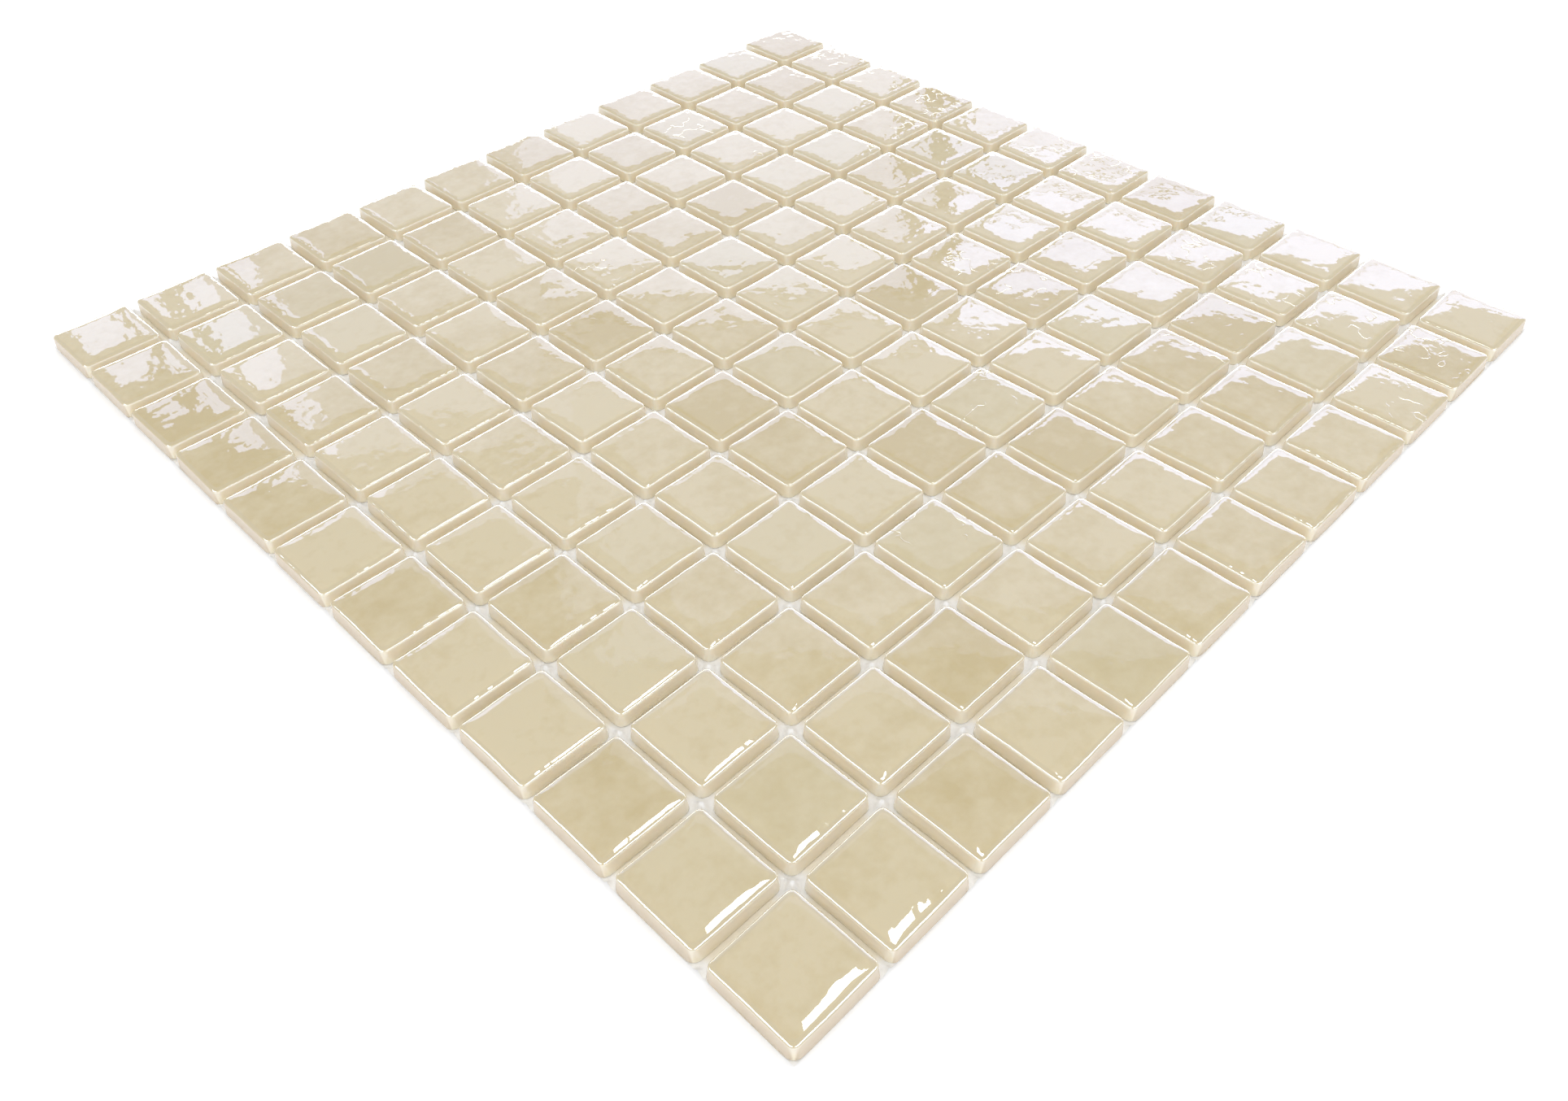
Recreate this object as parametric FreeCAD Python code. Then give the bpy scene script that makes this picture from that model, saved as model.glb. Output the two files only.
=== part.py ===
import FreeCAD, Part
import math
import os

# A sheet of square glass mosaic tiles bonded to a glass-yarn net.
# Millimetres, +Z up. The origin is the middle of the sheet's underside, and
# X and Y run along the sheet's edges.

# Sheet
TILES_PER_SIDE = 12
JOINT_WIDTH = 2.0          # between the feet of two neighbouring tiles

# Tile: pressed glass, widest at its foot, with upright corners that sharpen towards the face
TILE_SIDE = 23.0           # across the foot
TILE_THICKNESS = 4.6
FOOT_CORNER_RADIUS = 2.2   # of the upright corners, at the foot
FACE_CORNER_RADIUS = 1.4   # of the same corners, at the border of the top face
WALL_DRAFT = 0.4           # how far a wall leans in between foot and top edge
EDGE_ROUND_HEIGHT = 0.5    # of the softened edge round the top face
EDGE_ROUND_INSET = 0.3
CORNER_STEPS = 3           # flats that make up one upright corner

# Net: flattened yarns in two layers, the upper one carries the tiles
STRAND_PITCH = 5.0
STRAND_WIDTH = 1.0
STRAND_THICKNESS = 0.25
STRAND_SETBACK = 0.5       # from the outer tiles' feet to the yarns' cut ends

# Worked out from the sizes above
TILE_PITCH = TILE_SIDE + JOINT_WIDTH
SHEET_SIDE = TILES_PER_SIDE * TILE_PITCH - JOINT_WIDTH
NET_TOP = 2 * STRAND_THICKNESS
QUARTER_TURN = math.pi / 2


def tile_outline(side, corner_radius, height):
    """A closed square outline with stepped round corners, centred on the Z axis."""
    reach = side / 2 - corner_radius
    points = []
    for corner in range(4):
        start = corner * QUARTER_TURN
        middle = start + QUARTER_TURN / 2
        centre_x = math.copysign(reach, math.cos(middle))
        centre_y = math.copysign(reach, math.sin(middle))
        for step in range(CORNER_STEPS + 1):
            angle = start + QUARTER_TURN * step / CORNER_STEPS
            x = centre_x + corner_radius * math.cos(angle)
            y = centre_y + corner_radius * math.sin(angle)
            points.append(FreeCAD.Vector(x, y, height))
    return Part.makePolygon(points + points[:1])


def with_flat_faces(shape):
    """The same solid, with each of its faces a plane inside its own border."""
    flat_faces = []
    for face in shape.Faces:
        corners = [vertex.Point for vertex in face.OuterWire.OrderedVertexes]
        flat_faces.append(Part.Face(Part.makePolygon(corners + corners[:1])))
    return Part.makeSolid(Part.makeShell(flat_faces))


def make_tile():
    """One tile centred on the Z axis, its foot on the net's upper yarns."""
    shoulder_side = TILE_SIDE - 2 * WALL_DRAFT
    face_side = shoulder_side - 2 * EDGE_ROUND_INSET
    shoulder_radius = FACE_CORNER_RADIUS + EDGE_ROUND_INSET
    top = NET_TOP + TILE_THICKNESS
    foot = tile_outline(TILE_SIDE, FOOT_CORNER_RADIUS, NET_TOP)
    shoulder = tile_outline(shoulder_side, shoulder_radius, top - EDGE_ROUND_HEIGHT)
    face = tile_outline(face_side, FACE_CORNER_RADIUS, top)
    return with_flat_faces(Part.makeLoft([foot, shoulder, face], True, True))


def tile_centre(index):
    """Where the tile of this number lies along either edge of the sheet."""
    return (index - (TILES_PER_SIDE - 1) / 2) * TILE_PITCH


def make_tile_row(tile, row):
    """The separate tiles of one row, which runs along X."""
    tiles = []
    for column in range(TILES_PER_SIDE):
        copy = tile.copy()
        copy.translate(FreeCAD.Vector(tile_centre(column), tile_centre(row), 0))
        tiles.append(copy)
    return Part.makeCompound(tiles)


def strand_places():
    """Centre lines of the yarns, with one on the sheet's middle joint."""
    reach = SHEET_SIDE / 2 - STRAND_SETBACK - STRAND_WIDTH / 2
    count = int(reach / STRAND_PITCH)
    return [number * STRAND_PITCH for number in range(-count, count + 1)]


def make_strand(place, along_x, bottom):
    """One flat yarn along X or Y."""
    length = SHEET_SIDE - 2 * STRAND_SETBACK
    size = (length, STRAND_WIDTH) if along_x else (STRAND_WIDTH, length)
    middle = (0, place) if along_x else (place, 0)
    corner = FreeCAD.Vector(middle[0] - size[0] / 2, middle[1] - size[1] / 2, bottom)
    return Part.makeBox(size[0], size[1], STRAND_THICKNESS, corner)


def make_strand_layer(along_x, bottom):
    """Parallel yarns, each a solid of its own."""
    return Part.makeCompound([make_strand(place, along_x, bottom) for place in strand_places()])


def make_parts():
    """Every node of the sheet by its name."""
    tile = make_tile()
    parts = {}
    for row in range(TILES_PER_SIDE):
        parts["tile_row_%02d" % (row + 1)] = make_tile_row(tile, row)
    parts["net_lower_strands"] = make_strand_layer(True, 0)
    parts["net_upper_strands"] = make_strand_layer(False, STRAND_THICKNESS)
    return parts


os.makedirs("parts", exist_ok=True)
for name, shape in make_parts().items():
    shape.exportStep("parts/" + name + ".step")
    print(name, len(shape.Solids), "solids", round(shape.Volume, 2), "mm3")
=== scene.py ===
import math

import bpy
import numpy as np
from bpy.props import FloatProperty, FloatVectorProperty, IntProperty, PointerProperty
from bpy.types import Operator, Panel, PropertyGroup
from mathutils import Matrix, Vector


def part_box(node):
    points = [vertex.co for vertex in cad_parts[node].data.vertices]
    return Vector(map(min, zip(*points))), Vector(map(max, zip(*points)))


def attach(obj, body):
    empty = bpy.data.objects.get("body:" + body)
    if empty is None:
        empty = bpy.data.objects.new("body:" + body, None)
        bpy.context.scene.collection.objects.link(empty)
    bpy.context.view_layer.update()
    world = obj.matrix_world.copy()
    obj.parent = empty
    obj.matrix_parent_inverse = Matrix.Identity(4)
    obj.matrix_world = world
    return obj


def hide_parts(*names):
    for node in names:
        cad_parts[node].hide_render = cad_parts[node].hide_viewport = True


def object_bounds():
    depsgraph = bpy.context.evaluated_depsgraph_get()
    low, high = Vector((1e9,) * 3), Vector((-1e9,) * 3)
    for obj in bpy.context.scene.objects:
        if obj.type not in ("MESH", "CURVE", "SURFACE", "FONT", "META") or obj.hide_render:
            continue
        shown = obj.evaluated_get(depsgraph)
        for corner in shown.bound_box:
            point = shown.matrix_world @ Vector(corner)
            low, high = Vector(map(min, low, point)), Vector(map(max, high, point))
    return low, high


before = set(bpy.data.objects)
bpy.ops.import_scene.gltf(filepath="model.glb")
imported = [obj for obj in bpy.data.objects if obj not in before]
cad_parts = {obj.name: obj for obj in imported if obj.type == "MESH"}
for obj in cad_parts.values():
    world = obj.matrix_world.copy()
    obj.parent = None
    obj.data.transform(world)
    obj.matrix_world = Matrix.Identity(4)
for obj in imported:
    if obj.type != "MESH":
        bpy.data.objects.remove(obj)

bl_info = {
    "name": "Glass mosaic sheet",
    "version": (1, 0, 0),
    "blender": (4, 5, 0),
    "location": "3D View > Sidebar > Mosaic",
    "description": "Dresses a net-backed sheet of pearl glass mosaic tiles and sets it in a pale studio",
    "category": "Object",
}

MM = 0.001
BODY = "root"
SHEET_LOW, SHEET_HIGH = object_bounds()
ROW_NODES = sorted(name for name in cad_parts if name.startswith("tile_row_"))
ROW_BOXES = [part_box(name) for name in ROW_NODES]
ROW_PLACES = [(low.y + high.y) / 2 for low, high in ROW_BOXES]
ROW_COUNT = len(ROW_NODES)
TILE_SIDE = ROW_BOXES[0][1].y - ROW_BOXES[0][0].y
TILE_PITCH = (ROW_PLACES[-1] - ROW_PLACES[0]) / (ROW_COUNT - 1)
TILE_COUNT = round((ROW_BOXES[0][1].x - ROW_BOXES[0][0].x) / TILE_PITCH)
FOOT_HEIGHT = ROW_BOXES[0][0].z
TOP_HEIGHT = ROW_BOXES[0][1].z
NET_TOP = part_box("net_upper_strands")[1].z


# Properties that a user would change

def length(name, description, millimetres, low=0.0, high=100.0):
    return FloatProperty(name=name, description=description, default=millimetres * MM,
                         min=low * MM, max=high * MM, precision=5, subtype="DISTANCE", unit="LENGTH")


def angle(name, description, degrees):
    return FloatProperty(name=name, description=description, default=math.radians(degrees),
                         subtype="ANGLE", unit="ROTATION")


def colour(name, description, value):
    return FloatVectorProperty(name=name, description=description, default=value, size=3,
                               min=0.0, max=1.0, subtype="COLOR")


def amount(name, description, value, high=1.0):
    return FloatProperty(name=name, description=description, default=value, min=0.0, max=high)


class MosaicTileSettings(PropertyGroup):
    corner_radius: length("Corner radius", "Radius of the upright corners at the foot", 2.2)
    draft: length("Wall draft", "How far a wall leans in from foot to edge", 0.4)
    edge_inset: length("Edge inset", "Width of the bevel round the face, seen from above", 0.3)
    edge_height: length("Edge height", "Height of the bevel", 0.4)
    face_ease: length("Face ease", "How far the face's border is melted into the bevel", 0.7)
    shoulder_ease: length("Shoulder ease", "How far the bevel is melted into the wall", 0.25)
    foot_ease: length("Foot ease", "Rounding under the foot", 0.25)
    crown: length("Crown", "How much the whole face bulges", 0.1)
    rim_drop: length("Rim drop", "How far the face falls off close to its border", 0.3)
    seat_gap: length("Glue bed", "Glue between the net and the tile", 0.06)
    headroom: length("Headroom", "Room kept above the face for tilted tiles", 0.2)
    lean: angle("Lean", "Most that a tile leans out of level", 0.4)
    turn: angle("Turn", "Most that a tile turns in its place", 0.45)
    shift: length("Shift", "Most that a tile sits off its place", 0.12)
    swell_height: length("Swell height", "Height of the broad waves in the glass face", 0.12)
    swell_size: length("Swell size", "Size of the broad waves", 12.0)
    ripple_height: length("Ripple height", "Height of the short waves in the glass face", 0.08)
    ripple_size: length("Ripple size", "Size of the short waves", 4.5)
    fine_ripple: length("Fine ripple", "Height of the finest unevenness of the glass face", 0.04)
    edge_ripple: length("Edge ripple", "Height of the unevenness along the face's border", 0.12)
    wrinkle: length("Wrinkles", "Height of the fired wrinkles that cross a few of the faces", 0.05)
    waver: length("Edge waver", "How far the tile's outline strays from straight", 0.16)
    seed: IntProperty(name="Seed", description="Number behind every random choice", default=7)
    pale_glass: colour("Pale glass", "Colour of the palest tiles", (0.63, 0.505, 0.275))
    deep_glass: colour("Deep glass", "Colour of the deepest tiles", (0.52, 0.378, 0.125))
    green_glass: colour("Green cast", "Colour that some tiles lean towards", (0.532, 0.43, 0.195))
    # Painted shade: a darker colour on the bevel round the face, toning down its lighting.
    rim_glass: colour("Rim glass", "Colour of the glass along the edge of the face", (0.53, 0.425, 0.235))
    # Painted light: both wall colours are paler than the faces, standing in for light through the glass
    # into the shaded joints; the upper one is whiter as a painted reflection.
    painted_light_high_wall: colour("Upper wall", "Colour of the walls close to the face", (0.80, 0.715, 0.59))
    painted_light_low_wall: colour("Lower wall", "Colour of the walls close to the foot", (0.85, 0.72, 0.50))
    # Painted shade: darkens the sheet's outer walls, most by the foot.
    outer_wall_shade: colour("Outer wall", "Colour that the sheet's outer walls lean towards", (0.58, 0.44, 0.28))
    roughness: amount("Roughness", "Roughness of the fired face", 0.025)
    film_thickness: amount("Pearl film", "Thickness of the pearl film in nanometres", 62.0, 1000.0)
    film_ior: amount("Pearl film index", "Refractive index of the pearl film", 2.05, 3.0)


class MosaicNetSettings(PropertyGroup):
    yarn_pitch: length("Yarn pitch", "Distance between two yarns", 5.0)
    yarn_width: length("Yarn width", "Width of a flattened yarn", 0.9)
    yarn_thickness: length("Yarn thickness", "Thickness of a flattened yarn", 0.22)
    glue_climb: length("Glue climb", "How far the glue climbs the tiles' feet", 0.15)
    glue_reach: length("Glue reach", "Width over which the glue climbs", 0.45)
    glue_lump: length("Glue lumps", "Height of the lumps in the glue", 0.35)
    glue_mound: length("Glue mounds", "Height of the glue where four tiles meet", 2.3)
    yarn_colour: colour("Yarn colour", "Colour of the glass yarn", (0.80, 0.80, 0.78))
    glue_colour: colour("Glue colour", "Colour of the dried glue", (0.97, 0.96, 0.94))
    # Painted light: warm light bounced from the glass walls, painted on the glue in the narrow joints.
    joint_bounce_glue: colour("Thin glue", "Colour of the glue in the narrow joints", (0.93, 0.86, 0.72))


class MosaicStageSettings(PropertyGroup):
    floor_colour: colour("Floor colour", "Colour of the table that the sheet lies on", (0.93, 0.93, 0.93))
    floor_lift: amount("Floor lift", "Light added to the floor as it is seen", 0.14)
    ambient: amount("Ambient", "Strength of the light from all round", 0.85, 5.0)
    key: amount("Key", "Brightness of the lamp above the near corner", 4.8, 50.0)
    strips: amount("Strips", "Brightness of the two long lamps above and before the near edges", 5.0, 50.0)
    low_strips: amount("Low strips", "Brightness of the two long low lamps on the camera's side", 1.2, 50.0)
    left_window: amount("Left window", "Brightness of the tall soft box beyond the far corner", 0.97, 50.0)
    right_window: amount("Right window", "Brightness of the soft boxes beyond the right edge", 1.56, 50.0)
    side_window: amount("Side window", "Brightness of the soft boxes beyond the left corner", 1.2, 50.0)
    low_window: amount("Low window", "Brightness of the long low soft box beyond the sheet", 3.5, 50.0)
    fill: amount("Fill", "Brightness of the soft box behind the camera", 1.4, 50.0)


# Small helpers for node trees and meshes

NOISE_LOW, NOISE_HIGH = 0.3, 0.7   # nearly all of a noise lies between these
NOISE_MIDDLE = 0.5
TILE_APART = 10.0                  # metres between the tiles' places in a noise, at most


def add_node(tree, kind, inputs=None, **settings):
    """A node with its settings, and its inputs set to a value or linked to a socket."""
    node = tree.nodes.new(kind)
    for name, value in settings.items():
        setattr(node, name, value)
    for key, value in (inputs or {}).items():
        if isinstance(value, bpy.types.NodeSocket):
            tree.links.new(value, node.inputs[key])
        else:
            node.inputs[key].default_value = value
    return node


def math_node(tree, operation, first, second=0.0):
    return add_node(tree, "ShaderNodeMath", {0: first, 1: second}, operation=operation).outputs[0]


def vector_node(tree, operation, first, second):
    return add_node(tree, "ShaderNodeVectorMath", {0: first, 1: second}, operation=operation).outputs[0]


def scaled(tree, vector, factor):
    node = add_node(tree, "ShaderNodeVectorMath", {0: vector, "Scale": factor}, operation="SCALE")
    return node.outputs[0]


def shape_tree(name, sockets):
    """An empty geometry tree, its input node, and the identifiers of its named inputs."""
    tree = bpy.data.node_groups.new(name, "GeometryNodeTree")
    tree.interface.new_socket("Geometry", in_out="INPUT", socket_type="NodeSocketGeometry")
    tree.interface.new_socket("Geometry", in_out="OUTPUT", socket_type="NodeSocketGeometry")
    keys = {}
    for label, kind in sockets.items():
        socket = tree.interface.new_socket(label, in_out="INPUT", socket_type="NodeSocket" + kind)
        keys[label] = socket.identifier
    return tree, tree.nodes.new("NodeGroupInput"), keys


def close_shape_tree(tree, geometry, material):
    """Ends a geometry tree with real geometry and its material."""
    real = add_node(tree, "GeometryNodeRealizeInstances", {"Geometry": geometry})
    finish = add_node(tree, "GeometryNodeSetMaterial", {"Geometry": real.outputs[0], "Material": material})
    output = tree.nodes.new("NodeGroupOutput")
    tree.links.new(finish.outputs[0], output.inputs[0])


def grown(name, source, tree, keys, values):
    """The plain mesh object that a geometry tree makes of a source mesh."""
    carrier = bpy.data.objects.new(name + "_carrier", source)
    bpy.context.scene.collection.objects.link(carrier)
    modifier = carrier.modifiers.new("Shape", "NODES")
    modifier.node_group = tree
    for label, value in values.items():
        modifier[keys[label]] = value
    graph = bpy.context.evaluated_depsgraph_get()
    mesh = bpy.data.meshes.new_from_object(
        carrier.evaluated_get(graph), preserve_all_data_layers=True, depsgraph=graph)
    carrier.modifiers.remove(modifier)
    bpy.data.objects.remove(carrier)
    return placed(name, mesh)


def placed(name, mesh):
    """An object at the origin that shows a mesh under the piece's name."""
    mesh.name = name
    piece = bpy.data.objects.new(name, mesh)
    bpy.context.scene.collection.objects.link(piece)
    return piece


def mount_piece(piece, slot, *nodes):
    """Hands a finished piece to the frame in place of its nodes."""
    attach(piece, BODY)
    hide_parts(*nodes)


def surface_material(name):
    """A new material with its tree, its surface shader and the object coordinates."""
    material = bpy.data.materials.new(name)
    material.use_nodes = True
    tree = material.node_tree
    shader = tree.nodes["Principled BSDF"]
    place = add_node(tree, "ShaderNodeTexCoord").outputs["Object"]
    return material, tree, shader, place


def noise(tree, place, size, detail, roughness=0.5):
    """Smooth noise whose blotches are about this size, in metres."""
    node = add_node(tree, "ShaderNodeTexNoise",
                    {"Vector": place, "Scale": 1 / size, "Detail": detail, "Roughness": roughness})
    return node.outputs["Fac"]


def mixed(tree, share, first, second):
    """A colour between two others."""
    node = add_node(tree, "ShaderNodeMix", {0: share, 6: first, 7: second}, data_type="RGBA")
    return node.outputs[2]


def fitted(tree, value, low, high, new_low=0.0, new_high=1.0):
    """A value brought from one range to another and kept inside it."""
    node = add_node(tree, "ShaderNodeMapRange",
                    {0: value, 1: low, 2: high, 3: new_low, 4: new_high}, clamp=True)
    return node.outputs[0]


def spread(tree, value, low=0.0, high=1.0):
    """A noise brought to a range that nearly all of it then fills."""
    return fitted(tree, value, NOISE_LOW, NOISE_HIGH, low, high)


def stored(tree, name):
    """What a material can read of an attribute of the mesh."""
    return add_node(tree, "ShaderNodeAttribute", attribute_name=name, attribute_type="GEOMETRY").outputs


def set_inputs(shader, values):
    """Sets constants on a shader's sockets."""
    for name, value in values.items():
        shader.inputs[name].default_value = value


def add_bump(tree, shader, height, distance=1.0, strength=1.0):
    """Lets a height shape the light on a surface."""
    bump = add_node(tree, "ShaderNodeBump", {"Height": height, "Distance": distance, "Strength": strength})
    tree.links.new(bump.outputs[0], shader.inputs["Normal"])


def opaque(rgb):
    return (*rgb, 1.0)


# Glass tiles

FACE_CELLS = 24            # grid cells across a tile's face
CELL_CROWDING = 0.3        # how much the cells crowd towards the face's edges
RIM_POWER = 8              # how close to its border the face falls off
CALM_PLACE = -260 * MM     # sum of X and Y where the glass is calmest
LIVELY_PLACE = -60 * MM    # sum of X and Y from which it has all of its waves
CALM_SHARE = 0.4           # share of the waves where the glass is calmest
FAR_EXTRA = 0.9            # share of the waves that is added by the far corner
CORNER_TIGHTENING = 1.3    # how fast the upright corners sharpen as the outline shrinks
EASE_STEPS = 4             # rings in a melted edge
BEVEL_EASE_DIVISOR = 3     # the border is eased this many times less far on the bevel than on the face
FAR_OUT = 1.0              # distance of points that only give a profile's direction
# Unevenness of the border on the outermost rows of the face's grid
RIM_FADE = (1.0, 0.9, 0.75, 0.55, 0.35, 0.15)
# Offsets of the seeds for each tile's random draws, and from one row's seed to the next
SWING_DRAW, SHIFT_DRAW, TONE_DRAW = 1, 2, 3
ROW_SEED_STEP = 10


def crowded(share):
    """Moves a place from -1 to 1 outwards, so that cells are small by the edges."""
    return share * (1 + CELL_CROWDING) - CELL_CROWDING * share ** 3


def on_round_square(u, v, half, radius):
    """A point of the unit square laid on nested squares with round corners."""
    ring = max(abs(u), abs(v))
    x, y = half * u, half * v
    reach = (half - radius) * ring
    if abs(x) <= reach or abs(y) <= reach:
        return x, y
    corner_x, corner_y = math.copysign(reach, x), math.copysign(reach, y)
    out = math.hypot(x - corner_x, y - corner_y)
    share = radius * ring / out
    return corner_x + (x - corner_x) * share, corner_y + (y - corner_y) * share


def rim_cells():
    """Grid places round the border of the face, in order."""
    last = FACE_CELLS
    rim = [(k, 0) for k in range(last)] + [(last, k) for k in range(last)]
    rim += [(last - k, last) for k in range(last)] + [(0, last - k) for k in range(last)]
    return rim


def eased(before, corner, after, reach, reach_after=None):
    """Points of a soft bend in a profile, which starts and ends this far from its corner."""
    points = []
    start, end = (
        tuple(c + (o - c) * far / math.dist(corner, other) for c, o in zip(corner, other))
        for other, far in ((before, reach), (after, reach_after or reach)))
    for step in range(EASE_STEPS + 1):
        share = step / EASE_STEPS
        points.append(tuple(a * (1 - share) ** 2 + 2 * c * share * (1 - share) + b * share ** 2
                            for a, c, b in zip(start, corner, end)))
    return points


def tile_profile(look):
    """Rings from the face's border down, as inset from the foot's outline and height."""
    border = (look.draft + look.edge_inset, TOP_HEIGHT - look.headroom - look.crown - look.rim_drop)
    shoulder = (look.draft, border[1] - look.edge_height)
    foot = (0.0, FOOT_HEIGHT + look.seat_gap)
    slope = (2 * look.crown + RIM_POWER * look.rim_drop) / (TILE_SIDE / 2 - border[0])
    inner = (border[0] + FAR_OUT, border[1] + slope * FAR_OUT)
    under = (FAR_OUT, foot[1])
    rings = eased(inner, border, shoulder, look.face_ease, look.face_ease / BEVEL_EASE_DIVISOR)
    rings += eased(border, shoulder, foot, look.shoulder_ease)
    rings += eased(shoulder, foot, under, look.foot_ease)
    return rings


def point_values(mesh, name, values):
    """Stores a number for each point of a mesh."""
    mesh.attributes.new(name, "FLOAT", "POINT").data.foreach_set("value", values)


def corner_radius(look, inset):
    """Radius of the upright corners of an outline this far inside the foot's."""
    return look.corner_radius - CORNER_TIGHTENING * min(inset, look.draft + look.edge_inset)


def face_bulge(look, u, v):
    """Height of the face over its border at a place from -1 to 1 along either side."""
    broad = (1 - u ** 2) * (1 - v ** 2)
    late = (1 - u ** RIM_POWER) * (1 - v ** RIM_POWER)
    return look.crown * broad + look.rim_drop * late


def tile_blank(look):
    """One closed tile on the Z axis.

    Attribute rise is 0 at the foot and 1 on the face; attribute rim is 1 round the face's border.
    """
    places = [crowded(2 * k / FACE_CELLS - 1) for k in range(FACE_CELLS + 1)]
    half = TILE_SIDE / 2
    rings = tile_profile(look)
    face_inset, border_height = rings[0]
    points, faces, number = [], [], {}
    for row, v in enumerate(places):
        for column, u in enumerate(places):
            x, y = on_round_square(u, v, half - face_inset, corner_radius(look, face_inset))
            number[column, row] = len(points)
            points.append((x, y, border_height + face_bulge(look, u, v)))
    for row in range(FACE_CELLS):
        for column in range(FACE_CELLS):
            faces.append([number[column, row], number[column + 1, row],
                          number[column + 1, row + 1], number[column, row + 1]])
    rim = rim_cells()
    above = [number[cell] for cell in rim]
    for inset, height in rings[1:]:
        below = []
        for column, row in rim:
            x, y = on_round_square(places[column], places[row], half - inset, corner_radius(look, inset))
            below.append(len(points))
            points.append((x, y, height))
        for k in range(len(rim)):
            after = (k + 1) % len(rim)
            faces.append([above[after], above[k], below[k], below[after]])
        above = below
    faces.append(above[::-1])
    mesh = bpy.data.meshes.new("tile_blank")
    mesh.from_pydata(points, [], faces)
    smooth = [True] * (len(faces) - 1) + [False]
    mesh.polygons.foreach_set("use_smooth", smooth)
    thickness = TOP_HEIGHT - FOOT_HEIGHT
    point_values(mesh, "rise", [(z - FOOT_HEIGHT) / thickness for _, _, z in points])
    face_points = len(places) ** 2
    rim_end = face_points + EASE_STEPS * len(rim)
    rim_values = []
    for row in range(FACE_CELLS + 1):
        for column in range(FACE_CELLS + 1):
            rows_in = min(row, column, FACE_CELLS - row, FACE_CELLS - column)
            rim_values.append(RIM_FADE[rows_in] if rows_in < len(RIM_FADE) else 0.0)
    rim_values += [1.0 if k < rim_end else 0.0 for k in range(face_points, len(points))]
    point_values(mesh, "rim", rim_values)
    return mesh


def unrest(tree, place):
    """How wavy the glass is at a place: calmest by the near corner, liveliest by the far one."""
    along = add_node(tree, "ShaderNodeVectorMath", {0: place, 1: (1.0, 1.0, 0.0)}, operation="DOT_PRODUCT")
    near = fitted(tree, along.outputs["Value"], CALM_PLACE, LIVELY_PLACE, CALM_SHARE, 1.0)
    far = fitted(tree, along.outputs["Value"], 0.0, -CALM_PLACE, 0.0, FAR_EXTRA)
    return math_node(tree, "ADD", near, far)


def tile_row_tree():
    """Sets a row of tiles: each one leans, turns and shifts a little and has waves of its own."""
    tree, given, keys = shape_tree("tile_row", {
        "Count": "Int", "Start": "Vector", "Step": "Vector", "Seed": "Int",
        "Swing": "Vector", "Shift": "Vector", "Swell Height": "Float", "Swell Size": "Float",
        "Ripple Height": "Float", "Ripple Size": "Float", "Waver": "Float",
        "Low Corner": "Vector", "High Corner": "Vector", "Material": "Material"})
    use = given.outputs

    def random_vector(low, high, offset):
        return add_node(tree, "FunctionNodeRandomValue",
                        {"Min": low, "Max": high, "Seed": math_node(tree, "ADD", use["Seed"], offset)},
                        data_type="FLOAT_VECTOR").outputs["Value"]

    line = add_node(tree, "GeometryNodeMeshLine",
                    {"Count": use["Count"], "Start Location": use["Start"], "Offset": use["Step"]})
    swing = random_vector(scaled(tree, use["Swing"], -1.0), use["Swing"], SWING_DRAW)
    tiles = add_node(tree, "GeometryNodeInstanceOnPoints",
                     {"Points": line.outputs[0], "Instance": use["Geometry"], "Rotation": swing})
    shift = random_vector(scaled(tree, use["Shift"], -1.0), use["Shift"], SHIFT_DRAW)
    moved = add_node(tree, "GeometryNodeTranslateInstances",
                     {"Instances": tiles.outputs[0], "Translation": shift, "Local Space": False})
    toned = add_node(tree, "GeometryNodeStoreNamedAttribute",
                     {"Geometry": moved.outputs[0], "Name": "tile_tone",
                      "Value": random_vector((0, 0, 0), (1, 1, 1), TONE_DRAW)},
                     data_type="FLOAT_VECTOR", domain="INSTANCE")
    real = add_node(tree, "GeometryNodeRealizeInstances", {"Geometry": toned.outputs[0]})
    place = tree.nodes.new("GeometryNodeInputPosition").outputs[0]
    tone = add_node(tree, "GeometryNodeInputNamedAttribute", {"Name": "tile_tone"},
                    data_type="FLOAT_VECTOR").outputs[0]
    rise = add_node(tree, "GeometryNodeInputNamedAttribute", {"Name": "rise"},
                    data_type="FLOAT").outputs[0]
    own_place = vector_node(tree, "ADD", place, scaled(tree, tone, TILE_APART))

    def wave(size, height, detail=0.0, swirl=0.0):
        """A lift of up to this height either way, and the noise that it comes from."""
        scale = math_node(tree, "DIVIDE", 1.0, size)
        texture = add_node(tree, "ShaderNodeTexNoise",
                           {"Vector": own_place, "Scale": scale, "Detail": detail, "Distortion": swirl})
        centred = math_node(tree, "SUBTRACT", texture.outputs[0], NOISE_MIDDLE)
        return math_node(tree, "MULTIPLY", centred, math_node(tree, "MULTIPLY", height, 2.0)), texture

    swell, swell_texture = wave(use["Swell Size"], use["Swell Height"])
    ripple, _ = wave(use["Ripple Size"], use["Ripple Height"], detail=2.5, swirl=2.0)
    ripple = math_node(tree, "MULTIPLY", ripple, unrest(tree, place))
    lift = math_node(tree, "MULTIPLY", math_node(tree, "ADD", swell, ripple), rise)
    centred = vector_node(tree, "SUBTRACT", swell_texture.outputs["Color"], (NOISE_MIDDLE,) * 3)
    stray = vector_node(tree, "MULTIPLY", scaled(tree, centred, use["Waver"]), (2.0, 2.0, 0.0))
    offset = vector_node(tree, "ADD", stray, add_node(tree, "ShaderNodeCombineXYZ", {2: lift}).outputs[0])
    target = vector_node(tree, "ADD", place, offset)
    kept = vector_node(tree, "MAXIMUM", vector_node(tree, "MINIMUM", target, use["High Corner"]),
                       use["Low Corner"])
    shaped = add_node(tree, "GeometryNodeSetPosition", {"Geometry": real.outputs[0], "Position": kept})
    close_shape_tree(tree, shaped.outputs[0], use["Material"])
    return tree, keys


# Glass surface

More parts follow.
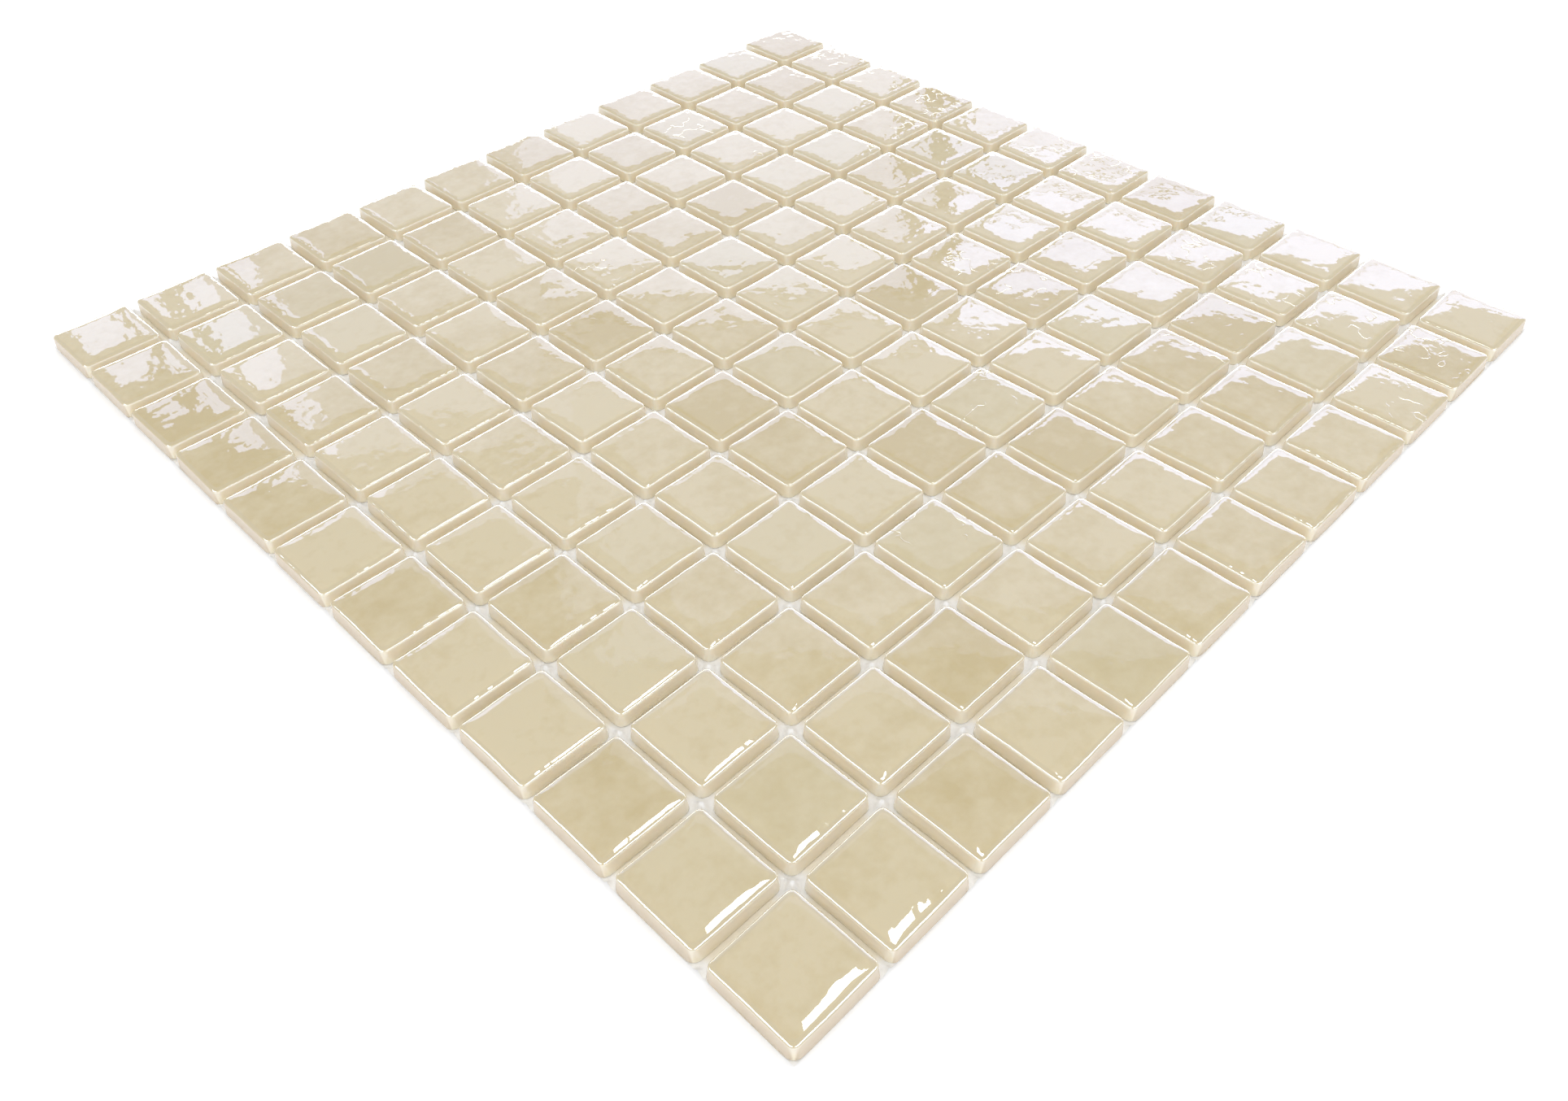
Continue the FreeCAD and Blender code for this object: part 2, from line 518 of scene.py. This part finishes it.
CLOUD_SIZE, CLOUD_DEPTH = 14 * MM, 0.32    # depth: how far they make the colour deeper or paler
WISP_SIZE, WISP_DEPTH = 3.5 * MM, 0.2
PALE_POWER = 2.0                           # above 1, so that most tiles are pale
GREEN_FROM, GREEN_MOST = 0.7, 0.35         # share of tiles without the cast, and its most
WALL_RISE_BLUR = 0.15                           # how far the wisps blur the change of the walls' painted light
UPPER_WALL_RISE = 0.75                     # from here up the walls have their upper painted light
WALL_RISE, FACE_RISE = 0.8, 0.86           # all painted wall light up to the first, all face from the second
OUTER_DEPTHS = (0.7 * MM, 0.45 * MM)       # in from the sheet's side, where the painted shade of the outer walls sets in
OUTER_RISES = (1.0, 0.1)                   # by the face and by the foot
OUTER_SHARES = (0.55, 1.0)                 # of the outer walls' painted shade at these two
RIM_FROM, RIM_SHARE = 0.9, 0.6             # where the rim's painted shade starts, and its most
SMEAR_SIZE, SMEAR = 9 * MM, (0.6, 1.6)     # times the roughness
FINE_SIZE, NICK_SIZE = 2.8 * MM, 3.0 * MM
CURD_SIZE = 7 * MM                         # of the patches where the fine ripple is calmer or livelier
CURD_LEVELS, CURD_RIPPLE = (0.42, 0.62), (0.5, 1.2)
GLASS_INPUTS = {
    "IOR": 1.52,
    "Subsurface Weight": 0.5,
    "Subsurface Radius": (1.0, 0.85, 0.6),
    "Subsurface Scale": 3 * MM,
}
# Wrinkles: a thin band round a noise's middle, on patches of the tiles whose chance is high
WRINKLE_SIZE, WRINKLE_BAND = 8 * MM, 0.016
WRINKLE_PATCH_SIZE, WRINKLE_PATCH_LEVELS = 10 * MM, (0.5, 0.58)
WRINKLE_CHANCES = (0.84, 0.86)
# X between which a tile's chance changes by these amounts
WRINKLE_PLACES, WRINKLE_EXTRAS = (40 * MM, 130 * MM), (-0.1, 0.3)


def wrinkles(tree, own_place, chance, height):
    """Height of thin winding ridges on patches of the few tiles whose chance is high."""
    centred = math_node(tree, "SUBTRACT", noise(tree, own_place, WRINKLE_SIZE, 2.0), NOISE_MIDDLE)
    ridge = fitted(tree, math_node(tree, "ABSOLUTE", centred), WRINKLE_BAND, 0.0)
    patch = fitted(tree, noise(tree, own_place, WRINKLE_PATCH_SIZE, 0.0), *WRINKLE_PATCH_LEVELS)
    share = math_node(tree, "MULTIPLY", patch, fitted(tree, chance, *WRINKLE_CHANCES))
    return math_node(tree, "MULTIPLY", math_node(tree, "MULTIPLY", ridge, share), height)


def outer_wall_shade_share(tree, place, blurred_rise):
    """How much of the outer walls' painted shade a place has; none away from the sheet's sides."""
    outward = vector_node(tree, "ABSOLUTE", place, (0.0, 0.0, 0.0))
    outward = add_node(tree, "ShaderNodeSeparateXYZ", {0: outward})
    reach = math_node(tree, "MAXIMUM", outward.outputs[0], outward.outputs[1])
    inner, outer = (SHEET_HIGH.x - depth for depth in OUTER_DEPTHS)
    share = fitted(tree, reach, inner, outer)
    return math_node(tree, "MULTIPLY", share, fitted(tree, blurred_rise, *OUTER_RISES, *OUTER_SHARES))


def glass_colour(tree, look, place, own_place, tone, rise, rim):
    """Cloudy cream on the faces, walls painted paler as painted light through the glass, painted shade on
    the outer walls and along the rim.
    """
    cloud = noise(tree, own_place, CLOUD_SIZE, 3.0, 0.55)
    wisp = noise(tree, own_place, WISP_SIZE, 4.0, 0.6)
    depth = math_node(tree, "POWER", tone.outputs[0], PALE_POWER)
    depth = math_node(tree, "ADD", depth, spread(tree, cloud, -CLOUD_DEPTH, CLOUD_DEPTH))
    depth = math_node(tree, "ADD", depth, spread(tree, wisp, -WISP_DEPTH, WISP_DEPTH))
    shade = mixed(tree, fitted(tree, depth, 0.0, 1.0), opaque(look.pale_glass), opaque(look.deep_glass))
    green = fitted(tree, tone.outputs[1], GREEN_FROM, 1.0, 0.0, GREEN_MOST)
    shade = mixed(tree, green, shade, opaque(look.green_glass))
    # Painted light on the walls: paler colours rising from foot to face stand in for light through the
    # glass.
    blurred_rise = math_node(tree, "ADD", rise, spread(tree, wisp, -WALL_RISE_BLUR, WALL_RISE_BLUR))
    upper = fitted(tree, blurred_rise, 0.0, UPPER_WALL_RISE)
    wall = mixed(tree, upper, opaque(look.painted_light_low_wall), opaque(look.painted_light_high_wall))
    shade = mixed(tree, fitted(tree, rise, FACE_RISE, WALL_RISE), shade, wall)
    # Painted shade on the sheet's outer walls, deepest by the foot.
    shade = mixed(tree, outer_wall_shade_share(tree, place, blurred_rise), shade, opaque(look.outer_wall_shade))
    # Painted shade along the rim of the face.
    return mixed(tree, fitted(tree, rim, RIM_FROM, 1.0, 0.0, RIM_SHARE), shade, opaque(look.rim_glass))


def glass_relief(tree, look, place, own_place, tone, rim):
    """Height of the fine ripples, the nicks along the border and the wrinkles."""
    curdled = fitted(tree, noise(tree, own_place, CURD_SIZE, 1.0), *CURD_LEVELS, *CURD_RIPPLE)
    fine = math_node(tree, "MULTIPLY", noise(tree, own_place, FINE_SIZE, 1.5), look.fine_ripple)
    fine = math_node(tree, "MULTIPLY", fine, curdled)
    nick = math_node(tree, "MULTIPLY", noise(tree, own_place, NICK_SIZE, 1.0), look.edge_ripple)
    height = math_node(tree, "ADD", fine, math_node(tree, "MULTIPLY", nick, rim))
    height = math_node(tree, "MULTIPLY", height, unrest(tree, place))
    across = add_node(tree, "ShaderNodeSeparateXYZ", {0: place}).outputs[0]
    extra = fitted(tree, across, *WRINKLE_PLACES, *WRINKLE_EXTRAS)
    chance = math_node(tree, "ADD", tone.outputs[2], extra)
    return math_node(tree, "ADD", height, wrinkles(tree, own_place, chance, look.wrinkle))


def glass_material(look):
    """Opaque cream glass under a thin pearl film, cloudy inside and finely rippled on top."""
    material, tree, shader, place = surface_material("pearl_glass")
    tile_tone = stored(tree, "tile_tone")["Vector"]
    tone = add_node(tree, "ShaderNodeSeparateXYZ", {0: tile_tone})
    own_place = vector_node(tree, "ADD", place, scaled(tree, tile_tone, TILE_APART))
    rise = stored(tree, "rise")["Fac"]
    rim = stored(tree, "rim")["Fac"]
    shade = glass_colour(tree, look, place, own_place, tone, rise, rim)
    tree.links.new(shade, shader.inputs["Base Color"])
    smear = noise(tree, own_place, SMEAR_SIZE, 2.0)
    low, high = (look.roughness * share for share in SMEAR)
    tree.links.new(spread(tree, smear, low, high), shader.inputs["Roughness"])
    set_inputs(shader, GLASS_INPUTS)
    set_inputs(shader, {"Thin Film Thickness": look.film_thickness, "Thin Film IOR": look.film_ior})
    add_bump(tree, shader, glass_relief(tree, look, place, own_place, tone, rim))
    return material


class MOSAIC_OT_glass_tiles(Operator):
    """Lay the rows of glass tiles"""
    bl_idname = "mosaic.glass_tiles"
    bl_label = "Lay glass tiles"

    def execute(self, context):
        look = context.scene.mosaic_tiles
        blank = tile_blank(look)
        tree, keys = tile_row_tree()
        material = glass_material(look)
        middle = (TILE_COUNT - 1) / 2
        for row, (node, row_place) in enumerate(zip(ROW_NODES, ROW_PLACES)):
            piece = grown(node + "_glass", blank, tree, keys, {
                "Count": TILE_COUNT,
                "Start": (-middle * TILE_PITCH, row_place, 0.0),
                "Step": (TILE_PITCH, 0.0, 0.0),
                "Seed": look.seed + ROW_SEED_STEP * row,
                "Swing": (look.lean, look.lean, look.turn),
                "Shift": (look.shift, look.shift, 0.0),
                "Swell Height": look.swell_height,
                "Swell Size": look.swell_size,
                "Ripple Height": look.ripple_height,
                "Ripple Size": look.ripple_size,
                "Waver": look.waver,
                "Low Corner": (SHEET_LOW.x, SHEET_LOW.y, FOOT_HEIGHT),
                "High Corner": (SHEET_HIGH.x, SHEET_HIGH.y, TOP_HEIGHT),
                "Material": material})
            mount_piece(piece, "cream_glass", node)
        bpy.data.meshes.remove(blank)
        return {"FINISHED"}


# Backing net and its glue

YARN_POINTS_PER_PITCH = 3
YARN_SIDES = 6
YARN_DIM = 0.82            # share of the yarn's colour in its dark filaments
HALF_GRID = SHEET_HIGH.x + (TILE_PITCH - TILE_SIDE) / 2
GLUE_CELL = 0.6 * MM
GLUE_TUCK = 0.6 * MM       # how far the glue reaches in under a tile
GLUE_DIM = 0.92            # share of the glue's colour in its dark blotches
# Ways to the nearest foot over which the glue rises, gets lumpy and is mounded up
GLUE_RISES = (-0.3 * MM, 0.0)
LUMP_SIZE, LUMP_LEVEL = 2.2 * MM, 0.35     # level: of the noise where a lump starts
LUMP_WAYS, LUMP_SHARES = (0.8 * MM, 1.6 * MM), (0.3, 2.0)
MOUND_WAYS = (0.9 * MM, 2.3 * MM)
PATCH_SIZE, PATCH_LEVELS, PATCH_SHARES = 9 * MM, (0.35, 0.65), (0.25, 1.0)
# Ways to the nearest crossing of joints over which the glue takes on painted bounce light from the glass
# walls
BOUNCE_WAYS = (3 * MM, 5 * MM)
GLUE_INPUTS = {
    "Roughness": 0.42,
    "Subsurface Weight": 0.3,
    "Subsurface Radius": (1.0, 1.0, 1.0),
    "Subsurface Scale": 1 * MM,
}


def yarn_layer_tree():
    """Parallel flat yarns that pass over and under the yarns of the other layer."""
    tree, given, keys = shape_tree("yarn_layer", {
        "Count": "Int", "Start": "Vector", "Step": "Vector", "Along": "Vector", "Points": "Int",
        "Half Size": "Vector", "Pitch": "Float", "Weave": "Float", "Material": "Material"})
    use = given.outputs
    yarn = add_node(tree, "GeometryNodeCurvePrimitiveLine",
                    {"Start": scaled(tree, use["Along"], -0.5), "End": scaled(tree, use["Along"], 0.5)})
    fine = add_node(tree, "GeometryNodeResampleCurve", {"Curve": yarn.outputs[0], "Count": use["Points"]})
    ring = add_node(tree, "GeometryNodeCurvePrimitiveCircle", {"Resolution": YARN_SIDES, "Radius": 1.0})
    flat = add_node(tree, "GeometryNodeTransform", {"Geometry": ring.outputs[0], "Scale": use["Half Size"]})
    tube = add_node(tree, "GeometryNodeCurveToMesh",
                    {"Curve": fine.outputs[0], "Profile Curve": flat.outputs[0], "Fill Caps": True})
    line = add_node(tree, "GeometryNodeMeshLine",
                    {"Count": use["Count"], "Start Location": use["Start"], "Offset": use["Step"]})
    yarns = add_node(tree, "GeometryNodeInstanceOnPoints",
                     {"Points": line.outputs[0], "Instance": tube.outputs[0]})
    real = add_node(tree, "GeometryNodeRealizeInstances", {"Geometry": yarns.outputs[0]})
    place = tree.nodes.new("GeometryNodeInputPosition").outputs[0]
    parts = add_node(tree, "ShaderNodeSeparateXYZ", {0: place})
    half_turn = math_node(tree, "DIVIDE", math.pi, use["Pitch"])
    wave_x = math_node(tree, "COSINE", math_node(tree, "MULTIPLY", parts.outputs[0], half_turn))
    wave_y = math_node(tree, "COSINE", math_node(tree, "MULTIPLY", parts.outputs[1], half_turn))
    lift = math_node(tree, "MULTIPLY", math_node(tree, "MULTIPLY", wave_x, wave_y), use["Weave"])
    woven = add_node(tree, "GeometryNodeSetPosition",
                     {"Geometry": real.outputs[0],
                      "Offset": add_node(tree, "ShaderNodeCombineXYZ", {2: lift}).outputs[0]})
    smooth = add_node(tree, "GeometryNodeSetShadeSmooth", {"Geometry": woven.outputs[0]})
    close_shape_tree(tree, smooth.outputs[0], use["Material"])
    return tree, keys


def yarn_material(look):
    """Flattened glass yarn stiffened with glue, with its filaments showing."""
    material, tree, shader, place = surface_material("glass_yarn")
    grain = noise(tree, place, 0.4 * MM, 3.0, 0.6)
    dim = tuple(YARN_DIM * channel for channel in look.yarn_colour)
    shade = mixed(tree, spread(tree, grain), opaque(dim), opaque(look.yarn_colour))
    tree.links.new(shade, shader.inputs["Base Color"])
    set_inputs(shader, {"Roughness": 0.5})
    add_bump(tree, shader, grain, distance=0.05 * MM, strength=0.8)
    return material


class MOSAIC_OT_backing_net(Operator):
    """Weave the two layers of yarn that carry the tiles"""
    bl_idname = "mosaic.backing_net"
    bl_label = "Weave backing net"

    def execute(self, context):
        look = context.scene.mosaic_net
        tree, keys = yarn_layer_tree()
        material = yarn_material(look)
        low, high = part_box("net_lower_strands")
        yarn_length = high.x - low.x
        count = round((high.y - low.y) / look.yarn_pitch)
        reach = (count - 1) / 2 * look.yarn_pitch
        weave = (NET_TOP - look.yarn_thickness) / 2
        points = round(yarn_length / look.yarn_pitch * YARN_POINTS_PER_PITCH) + 1
        half = (look.yarn_width / 2, look.yarn_thickness / 2, 1.0)
        layers = {
            "net_lower_strands": ((0.0, -reach), (0.0, look.yarn_pitch), (yarn_length, 0.0), -weave),
            "net_upper_strands": ((-reach, 0.0), (look.yarn_pitch, 0.0), (0.0, yarn_length), weave),
        }
        for node, (start, step, along, lift) in layers.items():
            piece = grown(node + "_yarn", bpy.data.meshes.new("seed"), tree, keys, {
                "Count": count, "Start": (*start, NET_TOP / 2), "Step": (*step, 0.0),
                "Along": (*along, 0.0), "Points": points, "Half Size": half,
                "Pitch": look.yarn_pitch, "Weave": lift, "Material": material})
            mount_piece(piece, "white_net", node)
        return {"FINISHED"}


def foot_distance(x, y, radius):
    """How far each point lies outside the nearest tile's foot; under a foot it is negative."""
    local_x = np.abs((x + HALF_GRID) % TILE_PITCH - TILE_PITCH / 2)
    local_y = np.abs((y + HALF_GRID) % TILE_PITCH - TILE_PITCH / 2)
    reach = TILE_SIDE / 2 - radius
    out_x, out_y = local_x - reach, local_y - reach
    outside = np.hypot(np.maximum(out_x, 0), np.maximum(out_y, 0))
    return outside + np.minimum(np.maximum(out_x, out_y), 0) - radius


def crossing_distance(x, y):
    """How far each point lies from the nearest place where two joints cross."""
    half = TILE_PITCH / 2
    away = [np.abs((place + HALF_GRID + half) % TILE_PITCH - half) for place in (x, y)]
    return np.hypot(*away)


def glue_source(radius):
    """The glue film between the feet as a flat lattice.

    Attribute clear is the way to the nearest foot, attribute crossing to the nearest crossing of joints.
    """
    count = round((SHEET_HIGH.x - SHEET_LOW.x) / GLUE_CELL)
    lines = np.linspace(SHEET_LOW.x, SHEET_HIGH.x, count + 1)
    x, y = (grid.ravel() for grid in np.meshgrid(lines, lines))
    clear = foot_distance(x, y, radius)
    corners = np.arange((count + 1) ** 2).reshape(count + 1, count + 1)
    quads = np.stack([corners[:-1, :-1], corners[:-1, 1:], corners[1:, 1:], corners[1:, :-1]], -1)
    quads = quads.reshape(-1, 4)
    kept = quads[clear[quads].max(1) > -GLUE_TUCK]
    used, faces = np.unique(kept, return_inverse=True)
    points = np.stack([x[used], y[used], np.full(len(used), NET_TOP)], 1)
    mesh = bpy.data.meshes.new("glue_lattice")
    mesh.from_pydata(points.tolist(), [], faces.reshape(-1, 4).tolist())
    point_values(mesh, "clear", clear[used].astype(np.float32))
    point_values(mesh, "crossing", crossing_distance(x[used], y[used]).astype(np.float32))
    return mesh


def glue_tree():
    """Raises the flat film to lumpy glue that climbs the tiles' feet and mounds up where four tiles meet.
    """
    tree, given, keys = shape_tree("glue_film", {
        "Climb": "Float", "Reach": "Float", "Lump": "Float", "Mound": "Float", "Material": "Material"})
    use = given.outputs
    place = tree.nodes.new("GeometryNodeInputPosition").outputs[0]
    clear = add_node(tree, "GeometryNodeInputNamedAttribute", {"Name": "clear"},
                     data_type="FLOAT").outputs[0]
    near = math_node(tree, "MAXIMUM", math_node(tree, "DIVIDE", clear, use["Reach"]), 0.0)
    fall = math_node(tree, "EXPONENT", math_node(tree, "MULTIPLY", near, -1.0))
    climb = math_node(tree, "MULTIPLY", use["Climb"], fall)
    lump = math_node(tree, "SUBTRACT", noise(tree, place, LUMP_SIZE, 3.0, 0.6), LUMP_LEVEL)
    lump = math_node(tree, "MULTIPLY", lump, use["Lump"])
    lump = math_node(tree, "MULTIPLY", lump, fitted(tree, clear, *LUMP_WAYS, *LUMP_SHARES))
    mound = math_node(tree, "MULTIPLY", fitted(tree, clear, *MOUND_WAYS), use["Mound"])
    lump = math_node(tree, "ADD", lump, mound)
    patchy = fitted(tree, noise(tree, place, PATCH_SIZE, 1.0), *PATCH_LEVELS, *PATCH_SHARES)
    height = math_node(tree, "ADD", math_node(tree, "MULTIPLY", climb, patchy), lump)
    height = math_node(tree, "MULTIPLY", height, fitted(tree, clear, *GLUE_RISES))
    raised = add_node(tree, "GeometryNodeSetPosition",
                      {"Geometry": use["Geometry"],
                       "Offset": add_node(tree, "ShaderNodeCombineXYZ", {2: height}).outputs[0]})
    smooth = add_node(tree, "GeometryNodeSetShadeSmooth", {"Geometry": raised.outputs[0]})
    close_shape_tree(tree, smooth.outputs[0], use["Material"])
    return tree, keys


def glue_material(look):
    """Dried white glue, slightly milky and satin, with painted warm bounce light in the narrow joints."""
    material, tree, shader, place = surface_material("white_glue")
    grain = noise(tree, place, 1.5 * MM, 4.0, 0.6)
    dim = tuple(GLUE_DIM * channel for channel in look.glue_colour)
    shade = mixed(tree, spread(tree, grain), opaque(dim), opaque(look.glue_colour))
    # Painted light: away from the crossings the glue takes the warm light bounced from the glass walls.
    thin = fitted(tree, stored(tree, "crossing")["Fac"], *BOUNCE_WAYS)
    shade = mixed(tree, thin, shade, opaque(look.joint_bounce_glue))
    tree.links.new(shade, shader.inputs["Base Color"])
    set_inputs(shader, GLUE_INPUTS)
    add_bump(tree, shader, grain, distance=0.08 * MM, strength=0.7)
    return material


class MOSAIC_OT_glue(Operator):
    """Fill the net between the tiles with glue"""
    bl_idname = "mosaic.glue"
    bl_label = "Fill joints with glue"

    def execute(self, context):
        look = context.scene.mosaic_net
        tree, keys = glue_tree()
        source = glue_source(context.scene.mosaic_tiles.corner_radius)
        piece = grown("glue_film", source, tree, keys, {
            "Climb": look.glue_climb, "Reach": look.glue_reach, "Lump": look.glue_lump,
            "Mound": look.glue_mound, "Material": glue_material(look)})
        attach(piece, BODY)
        return {"FINISHED"}


# Studio

CAMERA_PLACE = (-212.86 * MM, -213.75 * MM, 211.5 * MM)
CAMERA_TURN = (45.515, 0.707, -45.187)
CAMERA_LENS = 29.08
CAMERA_SENSOR = 36.0
FLOOR_HALF = 1.1
WINDOW_DISTANCE = 1.5
LAMP_HEIGHT = 0.9
LAMP_POWER = 4             # watts a square metre of a lamp that is seen as white
DOWN = (0.0, 0.0, -1.0)
NEUTRAL = (1.0, 1.0, 1.0)
COOL = (0.78, 0.87, 1.0)
PALE_BLUE = (0.55, 0.60, 0.93)
FRONT_FILL = ((-0.9, -0.9, 0.9), (1.0, 1.0, -0.9), (1.2, 0.8))   # middle, direction and size
KEY_LAMP = ((0.2, -0.045, LAMP_HEIGHT), DOWN, (0.16, 0.2))

# Long lamps that only the tiles mirror:
# name, setting and share of it, then middle, direction, size and tint
STRIPS = (
    ("strip_x", "strips", 1.0, (0.15, -0.75, LAMP_HEIGHT), DOWN, (1.1, 0.4), COOL),
    ("strip_x_end", "strips", 0.4, (1.0, -0.75, LAMP_HEIGHT), DOWN, (0.6, 0.4), COOL),
    ("strip_y", "strips", 1.0, (-0.75, 0.325, LAMP_HEIGHT), DOWN, (0.4, 1.45), COOL),
    ("low_strip_x", "low_strips", 1.0, (0.5, -1.5, 0.2), (0.0, 1.0, 0.0), (2.6, 0.3), NEUTRAL),
    ("low_strip_y", "low_strips", 1.0, (-1.5, 0.5, 0.2), (1.0, 0.0, 0.0), (2.6, 0.3), NEUTRAL),
)
# Standing soft boxes and pale walls between them, which only the tiles mirror:
# name, setting and share of it, then left, right, bottom, top and tint
WINDOWS = (
    ("left_window", "left_window", 1.0, 0.42, -0.19, 0.46, 0.965, PALE_BLUE),
    ("right_window_low", "right_window", 0.85, -0.26, -2.4, 0.46, 0.76, PALE_BLUE),
    ("right_window_high", "right_window", 1.1, -0.26, -2.4, 0.78, 1.02, PALE_BLUE),
    ("side_window", "side_window", 1.0, 1.02, 0.88, 0.7, 1.3, PALE_BLUE),
    ("far_side_window", "side_window", 1.0, 1.3, 1.09, 0.7, 1.2, PALE_BLUE),
    ("pale_wall", "left_window", 0.35, 0.88, 0.42, 0.46, 1.3, PALE_BLUE),
    ("upper_wall", "left_window", 0.22, 0.42, -1.45, 1.02, 1.9, PALE_BLUE),
    ("low_window", "low_window", 1.0, 1.4, -2.4, 0.01, 0.46, NEUTRAL),
)


def soft_box(name, brightness, middle, toward, size, tint=NEUTRAL, mirrored=True, lights=True):
    """A rectangular lamp of a given brightness; it may be left out of mirror images or only be in them."""
    lamp = bpy.data.lights.new(name, "AREA")
    lamp.shape = "RECTANGLE"
    lamp.size, lamp.size_y = size
    lamp.energy = brightness * size[0] * size[1] * LAMP_POWER
    lamp.color = tint
    holder = bpy.data.objects.new(name, lamp)
    bpy.context.scene.collection.objects.link(holder)
    holder.location = middle
    holder.rotation_euler = Vector(toward).to_track_quat("-Z", "Y").to_euler()
    holder.visible_glossy = mirrored
    holder.visible_diffuse = lights


def tall_window(name, brightness, left, right, bottom, top, tint):
    """A standing soft box in the plane beyond the far corner; left and right are places along it."""
    middle = (left + right) / 2
    outward = Vector((1.0, 1.0, 0.0)).normalized()
    along = Vector((-1.0, 1.0, 0.0)).normalized()
    place = outward * WINDOW_DISTANCE + along * middle + Vector((0.0, 0.0, (bottom + top) / 2))
    soft_box(name, brightness, place, -outward, (left - right, top - bottom), tint, lights=False)


def background_share(tree):
    """1 for rays that show the background: the camera's, mirrored ones and those through glass."""
    rays = add_node(tree, "ShaderNodeLightPath").outputs
    mirrored = math_node(tree, "MAXIMUM", rays["Is Glossy Ray"], rays["Is Transmission Ray"])
    return math_node(tree, "MAXIMUM", rays["Is Camera Ray"], mirrored)


def make_floor(look):
    """A pale table that keeps the sheet's shadow."""
    mesh = bpy.data.meshes.new("table")
    reach = FLOOR_HALF
    mesh.from_pydata([(-reach, -reach, 0), (reach, -reach, 0), (reach, reach, 0), (-reach, reach, 0)],
                     [], [(0, 1, 2, 3)])
    floor = placed("table", mesh)
    material, tree, shader, _ = surface_material("table_paint")
    set_inputs(shader, {"Base Color": opaque(look.floor_colour)})
    set_inputs(shader, {"Roughness": 0.7, "Specular IOR Level": 0.1})
    glow = add_node(tree, "ShaderNodeEmission",
                    {"Strength": math_node(tree, "MULTIPLY", background_share(tree), look.floor_lift)})
    both = add_node(tree, "ShaderNodeAddShader", {0: shader.outputs[0], 1: glow.outputs[0]})
    tree.links.new(both.outputs[0], tree.nodes["Material Output"].inputs["Surface"])
    mesh.materials.append(material)


def make_world(look):
    """Even light from all round; white where it shows as background."""
    world = bpy.data.worlds.new("studio_world")
    bpy.context.scene.world = world
    world.use_nodes = True
    tree = world.node_tree
    strength = fitted(tree, background_share(tree), 0.0, 1.0, look.ambient, 1.0)
    tree.links.new(strength, tree.nodes["Background"].inputs["Strength"])
    tree.nodes["Background"].inputs["Color"].default_value = (1.0, 1.0, 1.0, 1.0)


def make_camera():
    """The camera that looks across the sheet's near corner."""
    camera = bpy.data.cameras.new("camera")
    camera.lens = CAMERA_LENS
    camera.sensor_width = CAMERA_SENSOR
    camera.clip_start = 1 * MM
    holder = bpy.data.objects.new("camera", camera)
    bpy.context.scene.collection.objects.link(holder)
    holder.location = CAMERA_PLACE
    holder.rotation_euler = [math.radians(turn) for turn in CAMERA_TURN]
    bpy.context.scene.camera = holder


class MOSAIC_OT_stage(Operator):
    """Set the table, the soft boxes and the camera"""
    bl_idname = "mosaic.stage"
    bl_label = "Set studio"

    def execute(self, context):
        look = context.scene.mosaic_stage
        context.scene.view_settings.view_transform = "Standard"
        make_floor(look)
        make_world(look)
        make_camera()
        soft_box("key", look.key, *KEY_LAMP)
        for name, setting, share, *place in STRIPS:
            soft_box(name, getattr(look, setting) * share, *place, lights=False)
        for name, setting, share, *place in WINDOWS:
            tall_window(name, getattr(look, setting) * share, *place)
        soft_box("front_fill", look.fill, *FRONT_FILL, mirrored=False)
        return {"FINISHED"}


class MOSAIC_PT_sheet(Panel):
    """Sizes and colours of the mosaic sheet"""
    bl_label = "Mosaic sheet"
    bl_space_type = "VIEW_3D"
    bl_region_type = "UI"
    bl_category = "Mosaic"

    def draw(self, context):
        for group, operators in PANEL_PARTS:
            settings = getattr(context.scene, group)
            box = self.layout.box()
            for name in settings.bl_rna.properties.keys():
                if name not in {"rna_type", "name"}:
                    box.prop(settings, name)
            for operator in operators:
                box.operator(operator.bl_idname)


SETTINGS = {
    "mosaic_tiles": MosaicTileSettings,
    "mosaic_net": MosaicNetSettings,
    "mosaic_stage": MosaicStageSettings,
}
PANEL_PARTS = (
    ("mosaic_tiles", (MOSAIC_OT_glass_tiles,)),
    ("mosaic_net", (MOSAIC_OT_backing_net, MOSAIC_OT_glue)),
    ("mosaic_stage", (MOSAIC_OT_stage,)),
)
CLASSES = (*SETTINGS.values(), MOSAIC_OT_glass_tiles, MOSAIC_OT_backing_net, MOSAIC_OT_glue,
           MOSAIC_OT_stage, MOSAIC_PT_sheet)


def register():
    for item in CLASSES:
        bpy.utils.register_class(item)
    for name, group in SETTINGS.items():
        setattr(bpy.types.Scene, name, PointerProperty(type=group))


def unregister():
    for name in SETTINGS:
        delattr(bpy.types.Scene, name)
    for item in reversed(CLASSES):
        bpy.utils.unregister_class(item)


def main():
    register()
    bpy.ops.mosaic.stage()
    bpy.ops.mosaic.glass_tiles()
    bpy.ops.mosaic.backing_net()
    bpy.ops.mosaic.glue()


if __name__ == "__main__":
    main()
